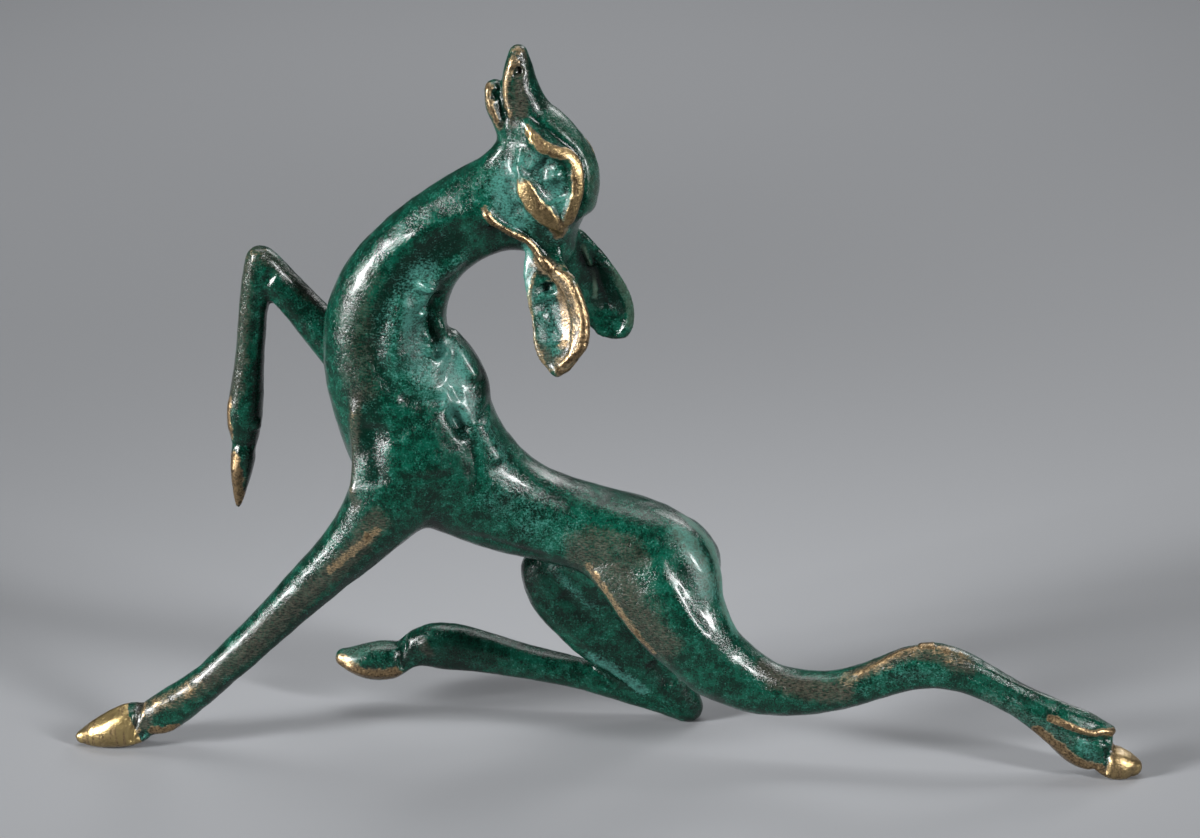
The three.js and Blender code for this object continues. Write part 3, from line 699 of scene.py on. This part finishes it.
frontLegs = {
    "foreRub": {
        "line": [(-25.8, -7.9, 28.8), (-28.4, -7.7, 26.3), (-31.2, -7.1, 23.6)],
        "height": 0.08, "width": 1.0, "bare": 0.52, "spread": 0.7,
    },
    "foreWear": {
        "line": [(-25.4, -7.4, 30.2), (-29.4, -7.2, 25.0), (-35.0, -6.2, 19.4), (-41.0, -5.3, 13.4),
                 (-47.0, -4.6, 8.6)],
        "brown": 0.95, "spread": 1.5,
    },
    "foreShine": {
        "line": [(-27.6, -6.9, 31.6), (-33.0, -6.2, 24.8), (-39.0, -5.2, 17.6), (-45.6, -4.3, 10.8)],
        "brown": 0.4, "spread": 0.8,
    },
    # Painted shade: darkens the underside of the standing foreleg
    "foreBack": {
        "line": [(-24.6, -6.0, 25.4), (-31.0, -5.4, 19.4), (-37.6, -4.8, 13.2), (-44.0, -4.0, 7.9)],
        "height": 0.14, "width": 0.5, "darkToneAndShade": 0.9, "spread": 1.4,
    },
    "foreTendon": {
        "line": [(-30.0, -6.9, 23.0), (-36.0, -5.9, 17.0), (-42.0, -5.0, 11.2), (-46.4, -4.4, 7.6)],
        "height": -0.16, "width": 0.5,
    },
    "forePastern": {
        "line": [(-53.0, -3.4, 5.4), (-50.4, -4.0, 6.6), (-47.2, -4.3, 8.4)],
        "height": 0.16, "width": 0.8, "bare": 0.42, "brown": 0.9, "spread": 1.5,
    },
    "foreHeel": {
        "line": [(-52.4, -3.7, 2.5), (-51.0, -3.8, 2.3), (-49.8, -3.7, 2.8)],
        "height": 0.25, "width": 0.6, "bare": 0.9, "spread": 0.7,
    },
    "foreHoofSide": {
        "line": [(-60.4, -3.0, 1.4), (-58.4, -3.9, 1.9), (-56.2, -4.2, 2.4)],
        "height": 0.12, "width": 0.9,
    },
    "foreHoofTop": {
        "line": [(-60.6, -2.2, 2.2), (-58.8, -2.2, 3.5), (-56.6, -2.0, 4.6), (-55.0, -1.8, 5.0)],
        "height": 0.22, "width": 0.6,
    },
    "foreCoronet": {
        "line": [(-54.0, -0.4, 5.2), (-54.1, -2.4, 5.0), (-54.3, -3.7, 3.9), (-54.8, -4.1, 2.2),
                 (-55.0, -3.9, 0.8)],
        "height": -0.4, "width": 0.36, "taper": 0.05, "brown": 1, "bare": 0.3, "spread": 0.7,
    },
    "foreNotch": {
        "line": [(-54.2, -4.0, 2.0), (-53.5, -3.8, 1.4)], "height": -0.5, "width": 0.55, "verdigris": 0.6,
    },
    "foreCollar": {
        "line": [(-54.0, -1.0, 5.4), (-53.7, -2.8, 4.8), (-53.5, -3.8, 3.6)],
        "brown": 1, "bare": 0.2, "spread": 1.1,
    },
    "foreHoofPolish": {
        "line": [(-60.8, -2.0, 1.4), (-58.4, -2.0, 2.4), (-55.4, -2.0, 3.0)],
        "polish": 1, "bare": 1, "spread": 3.6, "taper": 0,
        "until": ((-54.7, -3.8, 3.0), (0.93, 0, 0.36)),
    },
    "raisedKnee": {
        "line": [(-40.6, 4.0, 58.0), (-39.6, 3.6, 58.8), (-38.4, 3.4, 58.0)],
        "height": 0.12, "width": 0.7, "bare": 0.2, "brown": 0.8, "spread": 1.4,
    },
    "raisedThighWear": {
        "line": [(-38.0, 3.0, 58.4), (-35.4, 3.0, 56.4), (-32.4, 3.2, 53.6)],
        "brown": 0.8, "spread": 1.1,
    },
    "raisedKneePit": {
        "line": [(-38.6, 3.2, 55.6), (-37.6, 3.2, 55.0)],
        "height": -0.3, "width": 0.9,
    },
    "raisedTendon": {
        "line": [(-39.4, 3.2, 54.0), (-39.9, 3.2, 49.6), (-40.4, 3.2, 45.2)],
        "height": -0.18, "width": 0.5,
    },
    "raisedBone": {
        "line": [(-41.3, 3.8, 56.4), (-41.6, 3.8, 50.6), (-42.1, 3.7, 45.6), (-42.8, 3.6, 41.0)],
        "height": 0.1, "width": 0.4, "brown": 0.9, "spread": 1.4,
    },
    "raisedFetlock": {
        "line": [(-43.2, 3.9, 40.6), (-43.5, 3.9, 38.4), (-43.0, 3.9, 36.4)],
        "height": 0.16, "width": 0.6, "bare": 0.6, "brown": 0.7, "spread": 0.6,
    },
    "raisedErgot": {
        "line": [(-40.2, 3.8, 38.2), (-40.1, 4.0, 37.0)], "height": 0.3, "width": 0.6,
    },
    "raisedWaist": {
        "line": [(-43.1, 4.0, 35.1), (-41.8, 3.3, 34.9), (-40.4, 4.0, 34.8)],
        "height": -0.35, "width": 0.4,
    },
    "raisedHoofFace": {
        "line": [(-43.2, 3.9, 33.2), (-42.9, 3.8, 30.8), (-42.7, 4.2, 28.2)],
        "height": 0.1, "width": 0.6, "bare": 0.85, "brown": 0.8, "spread": 1.0,
    },
    "raisedHoofCleft": {
        "line": [(-41.6, 3.4, 33.4), (-41.9, 3.6, 31.0), (-42.2, 4.0, 29.0)],
        "height": -0.16, "width": 0.3,
    },
}

hindLegs = {
    "shankPatch": {
        "line": [(18.4, -9.0, 12.2), (21.0, -9.6, 11.0), (24.0, -9.9, 10.2), (27.4, -10.0, 10.2)],
        "brown": 1, "spread": 1.6,
    },
    "hockRidge": {
        "line": [(27.6, -9.8, 11.6), (31.0, -9.7, 13.4), (34.6, -9.4, 15.0), (37.4, -9.6, 15.2),
                 (40.2, -10.0, 14.2)],
        "height": 0.22, "width": 0.5, "bare": 0.44, "spread": 1.3,
    },
    "hockWear": {
        "line": [(29.0, -9.8, 12.6), (33.4, -9.6, 14.6), (37.4, -9.9, 14.8), (41.0, -10.4, 13.4)],
        "brown": 0.95, "bare": 0.25, "spread": 1.3,
    },
    "hockBloom": {
        "line": [(29.6, -10.3, 10.8), (33.6, -10.5, 12.2), (37.4, -10.9, 12.4)],
        "verdigris": 0.25, "spread": 1.3,
    },
    "cannonBloom": {
        "line": [(43.6, -11.4, 9.6), (48.6, -11.8, 7.0), (53.0, -12.4, 4.8)],
        "verdigris": 0.4, "brown": 0.6, "spread": 1.0,
    },
    "hockHollow": {
        "line": [(30.6, -10.4, 10.6), (34.4, -10.7, 11.6), (38.0, -11.1, 11.8)],
        "height": -0.2, "width": 0.9,
    },
    "hockPoint": {
        "line": [(35.6, -8.9, 15.4), (37.8, -9.0, 15.5)], "height": 0.25, "width": 0.8,
    },
    "cannonTendon": {
        "line": [(40.6, -10.9, 12.8), (45.4, -11.2, 10.4), (50.0, -11.6, 7.9)],
        "height": -0.22, "width": 0.5,
    },
    "cannonShade": {
        "line": [(42.1, -10.2, 13.9), (45.6, -10.0, 12.2), (49.6, -10.4, 10.2), (54.2, -10.8, 8.2)],
        "darkToneAndShade": 0.8, "spread": 1.1,
    },
    "cannonEdge": {
        "line": [(40.4, -10.4, 14.2), (46.1, -10.6, 11.6), (51.9, -10.6, 9.0), (57.6, -10.4, 6.4)],
        "height": 0.14, "width": 0.4, "bare": 0.12, "brown": 0.5, "spread": 0.5,
    },
    "clawEdge": {
        "line": [(50.8, -12.0, 7.5), (53.4, -12.5, 6.5), (55.4, -12.5, 5.9), (56.6, -12.0, 5.9),
                 (58.6, -11.2, 5.4)],
        "height": 0.3, "width": 0.36, "bare": 0.8, "spread": 0.5,
    },
    "underClaw": {
        "line": [(53.4, -12.9, 5.7), (55.4, -12.7, 5.1), (56.8, -12.3, 5.0), (58.0, -11.6, 4.6)],
        "height": -0.35, "width": 0.4,
    },
    "pastern": {
        "line": [(54.6, -12.7, 4.4), (55.4, -12.7, 3.0), (56.0, -12.2, 1.4)],
        "height": -0.1, "width": 0.5, "verdigris": 0.6, "spread": 0.9,
    },
    "cannonUnder": {
        "line": [(49.4, -11.7, 5.4), (51.8, -12.3, 3.4), (54.0, -12.6, 1.8), (56.2, -12.4, 1.0)],
        "height": 0.2, "width": 0.5, "bare": 0.78, "brown": 0.8, "spread": 1.1,
    },
    "hoofGap": {
        "line": [(57.1, -12.2, 4.0), (57.2, -12.7, 2.4), (57.1, -12.6, 0.8)],
        "height": -0.4, "width": 0.36, "taper": 0.05,
    },
    "hindHoofEdge": {
        "line": [(57.9, -12.9, 2.0), (59.3, -12.9, 1.4), (60.8, -12.0, 1.9)],
        "height": 0.08, "width": 0.3,
    },
    "hindHoofPolish": {
        "line": [(58.0, -10.8, 1.6), (60.4, -10.8, 1.6)],
        "polish": 0.5, "bare": 1, "spread": 3.0, "taper": 0,
        "until": ((57.4, -11.0, 2.0), (-1, 0, 0.15)),
    },
    "leafFold": {
        "line": [(-6.4, 2.9, 20.8), (-4.0, 2.7, 18.4), (-1.4, 2.9, 15.6)],
        "height": 0.2, "width": 0.6, "verdigris": 0.5, "spread": 0.6,
    },
    "leafHollow": {
        "line": [(-5.4, 2.8, 17.6), (-2.4, 2.8, 14.6), (1.0, 2.9, 11.6)],
        "height": -0.3, "width": 1.0,
    },
    "leafRim": {
        "line": [(-9.0, 4.4, 19.8), (-8.8, 4.0, 17.6), (-6.9, 3.2, 14.8), (-3.6, 3.1, 11.9),
                 (-0.2, 3.2, 8.9)],
        "height": 0.2, "width": 0.5,
    },
    "restHollow": {
        "line": [(5.4, 3.3, 8.4), (6.9, 3.5, 6.4), (7.8, 3.8, 4.8)],
        "height": -0.4, "width": 0.7,
    },
    "restStreak": {
        "line": [(-1.6, 3.8, 8.6), (1.2, 3.8, 6.9), (4.4, 4.2, 4.5)],
        "height": 0.2, "width": 0.5, "verdigris": 0.9, "spread": 0.8,
    },
    "restCannonEdge": {
        "line": [(-18.3, 7.3, 7.6), (-12.4, 6.7, 6.4), (-6.4, 6.0, 5.5), (-1.7, 5.5, 4.5), (3.6, 4.8, 2.9)],
        "height": 0.12, "width": 0.4,
    },
    "restFetlock": {
        "line": [(-21.6, 7.8, 9.2), (-20.9, 7.6, 7.8)],
        "height": 0.12, "width": 0.6, "brown": 0.9, "spread": 0.8,
    },
    "restCoronet": {
        "line": [(-23.8, 10.6, 8.6), (-23.8, 8.6, 8.3), (-24.1, 7.9, 6.6), (-23.8, 8.4, 5.2)],
        "height": -0.4, "width": 0.45, "taper": 0.05,
    },
    "restHoofRim": {
        "line": [(-31.2, 9.2, 5.9), (-29.6, 8.4, 5.1), (-27.4, 7.8, 4.7), (-25.0, 8.0, 4.7)],
        "height": 0.15, "width": 0.4, "bare": 0.8, "spread": 1.0,
    },
    "restHoofTop": {
        "line": [(-30.4, 9.6, 7.2), (-28.6, 9.6, 7.9), (-26.0, 9.4, 8.2)],
        "verdigris": 0.4, "brown": 0.7, "spread": 1.3,
    },
}

regions = (face, ears, neck, trunk, frontLegs, hindLegs)


def bothSides(stroke):
    line = [Vector(point) for point in stroke["line"]]
    if "both" not in stroke:
        return [line]
    centre, side = middles[stroke["both"]]
    return [line, [point - 2 * (point - centre).dot(side) * side for point in line]]


def laidOn(tree, line):
    return [tree.find_nearest(point * mm)[0] / mm for point in line]


def carve(clay, region):
    tree = clay.tree()
    for stroke in region.values():
        taper = {"taper": stroke["taper"]} if "taper" in stroke else {}
        for number, line in enumerate(bothSides(stroke)):
            line = laidOn(tree, line)
            if "shelf" in stroke:
                if number == 1:
                    line = line[::-1]
                clay.shelf(line, stroke["shelf"], stroke["edge"], stroke["reach"], **taper)
            elif "edge" in stroke:
                clay.band(line, stroke["height"], stroke["width"], stroke["edge"], **taper)
            elif "height" in stroke:
                clay.ridge(line, stroke["height"], stroke["width"], **taper)
    clay.save()


def handMade(clay):
    for length, height in clayChoices["waves"]:
        swell = np.array([noise.noise(Vector(place / length)) for place in clay.places])
        clay.places += clay.facing * (height * swell)[:, None]
    clay.save()


def standFlat(clay):
    below = clay.places[:, 2] < clayChoices["sole"]
    clay.places[below, 2] = 0
    clay.save()


def thinOut(piece):
    thin = piece.modifiers.new("thin", "DECIMATE")
    thin.ratio = min(1, clayChoices["keptFaces"] / (2 * len(piece.data.polygons)))
    applyModifiers(piece)
    piece.data.polygons.foreach_set("use_smooth", [True] * len(piece.data.polygons))


fawn = fineCopy(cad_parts["fawn"], "fawn_skin")
clay = Clay(fawn)
print("clay has", len(clay.places), "points")
clay.relax(clayChoices["firstRounds"])
for seamCentre, seamRadius, seamRounds in seams.values():
    clay.melt(seamRounds, clay.roundAbout(seamCentre, seamRadius))
clay.save()
print("seams filled")
for region in regions:
    carve(clay, region)
clay.relax(clayChoices["lastRounds"])
clay.save()
handMade(clay)
standFlat(clay)
print("carved")
thinOut(fawn)
print("skin has", len(fawn.data.polygons), "faces")


# Where the wear and the patina lie, and where shade is painted, as numbers on the points of the skin

# Layers painted along the strokes. The last one darkens the colour: painted shade in creases, slits,
# recesses and on undersides, and a darker tone at the tip of the nose.
finishAndShadeNames = ("bare", "brown", "olive", "verdigris", "polish", "darkToneAndShade")

wearAndShadeChoices = {
    # shares of a stroke's spread: where its paint starts to fade and where it ends,
    # and how far and how finely its edge wanders
    "fullTo": 0.4,
    "goneFrom": 1.6,
    "ragged": 0.35,
    "swellSize": 0.8,
    "hollowRounds": 60,  # smoothing that wide hollows are measured against
    "hollowDepth": 0.30,
    "crestRounds": 6,  # and sharp edges
    "crestHeight": 0.05,
    "undersideShade": 0.7,  # painted shade: how much faces that look down are darkened, added to the hollows
}


def paintStrokes(clay):
    tree = clay.tree()
    layers = {name: np.zeros(len(clay.places)) for name in finishAndShadeNames}
    for region in regions:
        for stroke in region.values():
            wanted = [name for name in finishAndShadeNames if name in stroke]
            if not wanted:
                continue
            spread = stroke.get("spread", stroke.get("width"))
            full = spread * wearAndShadeChoices["fullTo"]
            gone = spread * wearAndShadeChoices["goneFrom"]
            ragged = spread * wearAndShadeChoices["ragged"]
            swellSize = spread * wearAndShadeChoices["swellSize"]
            for line in bothSides(stroke):
                found, distance, _, _ = clay.near(laidOn(tree, line), spread * 2)
                swell = [noise.noise(Vector(place / swellSize)) for place in clay.places[found]]
                cover = 1 - smoothStep(full, gone, distance + ragged * np.array(swell))
                if "until" in stroke:
                    point, direction = (np.array(part) for part in stroke["until"])
                    cover *= 1 - smoothStep(-0.2, 0.2, (clay.places[found] - point) @ direction)
                for name in wanted:
                    layers[name][found] = np.maximum(layers[name][found], stroke[name] * cover)
    return layers


# How far the skin lies under its smoothed self: above zero in hollows, below zero on edges
def hollowness(clay, rounds):
    smooth = clay.places.copy()
    for _ in range(rounds):
        smooth += 0.5 * (clay.average(smooth) - smooth)
    return ((smooth - clay.places) * clay.facing).sum(1)


def storeLayer(mesh, name, values):
    layer = mesh.attributes.new(name, "FLOAT", "POINT")
    layer.data.foreach_set("value", np.clip(values, -1, 1).astype(np.float32))


skin = Clay(fawn)
for layerName, layerValues in paintStrokes(skin).items():
    storeLayer(fawn.data, layerName, layerValues)
hollowAndUnderShade = hollowness(skin, wearAndShadeChoices["hollowRounds"]) / wearAndShadeChoices["hollowDepth"]
# Painted shade: faces that look down are added in, so undersides come out darker
hollowAndUnderShade += wearAndShadeChoices["undersideShade"] * smoothStep(0.1, 0.9, -skin.facing[:, 2])
storeLayer(fawn.data, "hollowAndUnderShade", hollowAndUnderShade)
storeLayer(fawn.data, "crest", hollowness(skin, wearAndShadeChoices["crestRounds"]) / wearAndShadeChoices["crestHeight"])
print("wear painted")


# Patina, and the painted shade

patina = {
    # the deepest green, also used for the painted shade
    "deep": (0.0003, 0.007, 0.004),
    "green": (0.0013, 0.042, 0.025),
    "verdigris": (0.036, 0.130, 0.108),
    "olive": (0.040, 0.064, 0.044),
    "brown": (0.042, 0.036, 0.027),
    "brownDark": (0.010, 0.009, 0.007),
    "bronze": (0.31, 0.215, 0.115),
    "bronzeDark": (0.09, 0.062, 0.036),
    "polished": (0.38, 0.285, 0.125),
    "shine": 0.26,
    "coat": 0.12,
    "coatRoughness": 0.07,
    "gloss": 0.13,  # roughness of the waxed green
    "verdigrisDulls": 0.8,  # how far painted verdigris takes the gloss to its own roughness
    "verdigrisRoughness": 0.45,
    "oliveRoughness": 0.5,
    "wornRoughness": 0.24,
    "metalRoughness": 0.36,
    "hatchAngle": 45,  # degrees, the slope of the brush marks seen from the left side
    "hatchStretch": (0.3, 1, 1),
    "fileAngle": -20,
    "fileStretch": (1, 0.15, 0.12),
}

# Patterns of the finish: size of the patches in millimetres, detail, roughness and seed
patterns = {
    "clouds": (5, 4, 0.55, 0),
    "mottle": (1.1, 4, 0.65, 3),
    "speckle": (0.28, 3, 0.7, 5),
    "grain": (0.17, 2, 0.6, 7),
    "hatch": (0.16, 2, 0.6, 9),
    "file": (0.35, 1, 0.5, 11),
}

# What each finish is mixed from: how much every pattern or painted layer counts, and the range of
# their sum over which it sets in, from its least share to its full share
recipes = {
    "green": ({"mottle": 0.5, "grain": 0.35, "clouds": 0.3}, (0.46, 0.72, 0, 1)),
    # Deep green in the hollows of the patina, and painted shade on undersides and along the shade strokes
    "deepHollowAndShade": ({"hollowAndUnderShade": 1, "darkToneAndShade": 1}, (0.05, 0.7, 0, 0.9)),
    "olive": ({"olive": 1, "crest": -0.25, "speckle": 0.8}, (0.6, 1.3, 0, 0.85)),
    "powder": (
        {"speckle": 0.35, "grain": 0.4, "hatch": 0.3, "mottle": 0.3, "verdigris": 0.2},
        (0.69, 0.94, 0, 0.85),
    ),
    "worn": ({"brown": 0.75, "mottle": 0.6, "speckle": 1.1}, (1.05, 1.85, 0, 0.95)),
    "underMetal": ({"bare": 2.2}, (0.55, 1.35, 0, 0.95)),
    "lightBrown": ({"hatch": 1}, (0.38, 0.62, 0, 1)),
    "edge": ({"crest": 1}, (-0.25, -0.9, 0, 0.22)),
    "metal": ({"bare": 1, "edge": 1, "mottle": 0.3, "hatch": 0.5}, (0.75, 1.2, 0, 1)),
    "lightBronze": ({"speckle": 1}, (0.36, 0.58, 0, 1)),
    "metallic": ({"metal": 1}, (0.2, 0.8, 0, 1)),
    "filed": ({"file": 1}, (0.40, 0.50, 0.25, 1)),
    "dullSpecks": ({"speckle": 1}, (0.4, 0.7, 0, 0.15)),
}

# Depth in millimetres and strength of the pits of the sand casting and of the brush marks
reliefs = {"mottle": (0.10, 1), "speckle": (0.065, 1), "hatch": (0.04, 0.8)}


class Finish:
    def __init__(self, name):
        self.material = bpy.data.materials.new(name)
        self.material.use_nodes = True
        self.nodes = self.material.node_tree.nodes
        self.links = self.material.node_tree.links
        self.shader = self.nodes["Principled BSDF"]
        self.place = self.nodes.new("ShaderNodeTexCoord").outputs["Object"]
        self.sources = {}

    def put(self, socket, value):
        if isinstance(value, bpy.types.NodeSocket):
            self.links.new(value, socket)
        elif isinstance(value, tuple):
            socket.default_value = (*value, 1)
        else:
            socket.default_value = value

    def layer(self, name):
        node = self.nodes.new("ShaderNodeAttribute")
        node.attribute_name = name
        self.sources[name] = node.outputs["Fac"]

    def turned(self, angle, stretch):
        node = self.nodes.new("ShaderNodeMapping")
        self.links.new(self.place, node.inputs["Vector"])
        node.inputs["Rotation"].default_value = (0, math.radians(angle), 0)
        node.inputs["Scale"].default_value = stretch
        return node.outputs["Vector"]

    def pattern(self, name, place):
        size, detail, roughness, seed = patterns[name]
        node = self.nodes.new("ShaderNodeTexNoise")
        node.noise_dimensions = "4D"
        self.links.new(place, node.inputs["Vector"])
        node.inputs["W"].default_value = seed
        node.inputs["Scale"].default_value = 1 / (size * mm)
        node.inputs["Detail"].default_value = detail
        node.inputs["Roughness"].default_value = roughness
        self.sources[name] = node.outputs["Fac"]

    def ramp(self, value, low, high, start, end):
        node = self.nodes.new("ShaderNodeMapRange")
        node.interpolation_type = "SMOOTHSTEP"
        self.put(node.inputs["Value"], value)
        node.inputs["From Min"].default_value = low
        node.inputs["From Max"].default_value = high
        node.inputs["To Min"].default_value = start
        node.inputs["To Max"].default_value = end
        return node.outputs["Result"]

    def math(self, kind, a, b):
        node = self.nodes.new("ShaderNodeMath")
        node.operation = kind
        self.put(node.inputs[0], a)
        self.put(node.inputs[1], b)
        return node.outputs[0]

    # How much of a finish shows at each place
    def share(self, recipe):
        weights, span = recipes[recipe]
        total = None
        for name, weight in weights.items():
            part = self.math("MULTIPLY", self.sources[name], weight)
            total = part if total is None else self.math("ADD", total, part)
        return self.ramp(total, *span)

    # The colour sockets of a Mix node are 6, 7 and 2, and its number sockets 2, 3 and 0
    def mix(self, share, a, b):
        node = self.nodes.new("ShaderNodeMix")
        node.data_type = "RGBA"
        self.put(node.inputs[0], share)
        self.put(node.inputs[6], a)
        self.put(node.inputs[7], b)
        return node.outputs[2]

    def blend(self, share, a, b):
        node = self.nodes.new("ShaderNodeMix")
        node.data_type = "FLOAT"
        self.put(node.inputs[0], share)
        self.put(node.inputs[2], a)
        self.put(node.inputs[3], b)
        return node.outputs[0]

    def bump(self, height, distance, strength, normal):
        node = self.nodes.new("ShaderNodeBump")
        node.inputs["Strength"].default_value = strength
        node.inputs["Distance"].default_value = distance * mm
        self.links.new(height, node.inputs["Height"])
        if normal is not None:
            self.links.new(normal, node.inputs["Normal"])
        return node.outputs["Normal"]


def patinatedBronze():
    f = Finish("patinatedBronze")
    for name in (*finishAndShadeNames, "hollowAndUnderShade", "crest"):
        f.layer(name)
    for name in ("clouds", "mottle", "speckle", "grain"):
        f.pattern(name, f.place)
    f.pattern("hatch", f.turned(patina["hatchAngle"], patina["hatchStretch"]))
    f.pattern("file", f.turned(patina["fileAngle"], patina["fileStretch"]))

    # Green of the patina, deeper in patches and in the hollows, darker still with painted shade on
    # undersides and along the shade strokes, and with powdery verdigris in flecks
    green = f.mix(f.share("green"), patina["deep"], patina["green"])
    green = f.mix(f.share("deepHollowAndShade"), green, patina["deep"])
    oliveShare = f.share("olive")
    green = f.mix(oliveShare, green, patina["olive"])
    green = f.mix(f.share("powder"), green, patina["verdigris"])

    # Worn grey-brown, which also shows around bare metal
    brownShare = f.math("MAXIMUM", f.share("worn"), f.share("underMetal"))
    brown = f.mix(f.share("lightBrown"), patina["brownDark"], patina["brown"])
    colour = f.mix(brownShare, green, brown)

    # Metal rubbed bare on edges, and filed clean on the hooves
    f.sources["edge"] = f.share("edge")
    f.sources["metal"] = metalShare = f.share("metal")
    bronze = f.mix(f.share("lightBronze"), patina["bronzeDark"], patina["bronze"])
    clean = f.math("MULTIPLY", f.sources["polish"], f.share("filed"))
    bronze = f.mix(clean, bronze, patina["polished"])
    colour = f.mix(metalShare, colour, bronze)
    f.put(f.shader.inputs["Base Color"], colour)
    f.put(f.shader.inputs["Metallic"], f.share("metallic"))

    # Gloss of the waxed patina, duller where it is powdery or worn
    roughness = f.math("ADD", f.share("dullSpecks"), patina["gloss"])
    verdigrisShare = f.math("MULTIPLY", f.sources["verdigris"], patina["verdigrisDulls"])
    roughness = f.blend(verdigrisShare, roughness, patina["verdigrisRoughness"])
    roughness = f.blend(oliveShare, roughness, patina["oliveRoughness"])
    roughness = f.blend(brownShare, roughness, patina["wornRoughness"])
    roughness = f.blend(metalShare, roughness, patina["metalRoughness"])
    roughness = f.blend(f.sources["polish"], roughness, patina["metalRoughness"])
    f.put(f.shader.inputs["Roughness"], roughness)
    f.shader.inputs["Specular IOR Level"].default_value = patina["shine"]
    f.shader.inputs["Coat Weight"].default_value = patina["coat"]
    f.shader.inputs["Coat Roughness"].default_value = patina["coatRoughness"]

    normal = None
    for name, (depth, strength) in reliefs.items():
        normal = f.bump(f.sources[name], depth, strength, normal)
    f.links.new(normal, f.shader.inputs["Normal"])
    return f.material


fawn.data.materials.clear()
fawn.data.materials.append(patinatedBronze())
print("patina mixed")

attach(fawn, "root")
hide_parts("fawn")
